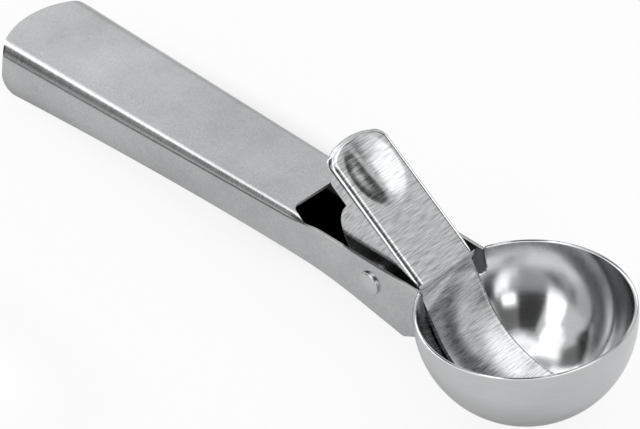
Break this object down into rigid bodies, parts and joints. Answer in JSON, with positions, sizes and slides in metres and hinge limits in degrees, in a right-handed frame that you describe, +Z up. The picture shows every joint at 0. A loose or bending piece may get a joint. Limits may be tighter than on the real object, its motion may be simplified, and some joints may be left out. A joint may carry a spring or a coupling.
{
  "type": "lever ice cream scoop",
  "caption": "Steel ice cream scoop: channel handle, round bowl, and a thumb lever whose blade sweeps up through the bowl.",
  "frame": {"origin": "on the table, under the middle of the scoop, which rests on its bowl and the handle's two rear corners", "axes": "+X from the handle to the bowl, +Z up, +Y to the left of someone who holds the handle and looks at the bowl"},
  "size_m": [0.1965, 0.051, 0.0423],
  "materials": {
    "handle_steel": "satin stainless sheet, pressed",
    "bowl_steel": "spun stainless, satin outside and polished inside",
    "weld_metal": "bare weld metal",
    "lever_steel": "stainless sheet, brushed across the plate and blade",
    "rivet_steel": "polished stainless",
    "sleeve_steel": "turned stainless",
    "spring_wire": "drawn spring wire"
  },
  "bodies": {
    "frame": {"handle": "handle_steel", "bowl": "bowl_steel", "near_weld": "weld_metal", "far_weld": "weld_metal", "pivot_rivet": "rivet_steel", "tail_washer": "rivet_steel", "pivot_sleeve": "sleeve_steel", "near_ear_washer": "sleeve_steel", "far_ear_washer": "sleeve_steel", "return_spring": "spring_wire"},
    "lever": {"lever": "lever_steel"}
  },
  "joints": [
    {"name": "lever_pivot", "type": "hinge", "parent": "frame", "child": "lever", "pos_m": [0.03457, 0, 0.01603], "axis": [0, -1, 0], "range_deg": [0, 42], "stiffness_Nm_per_rad": 0.045, "springref_deg": -34.38, "deforming": ["return_spring"]}
  ]
}
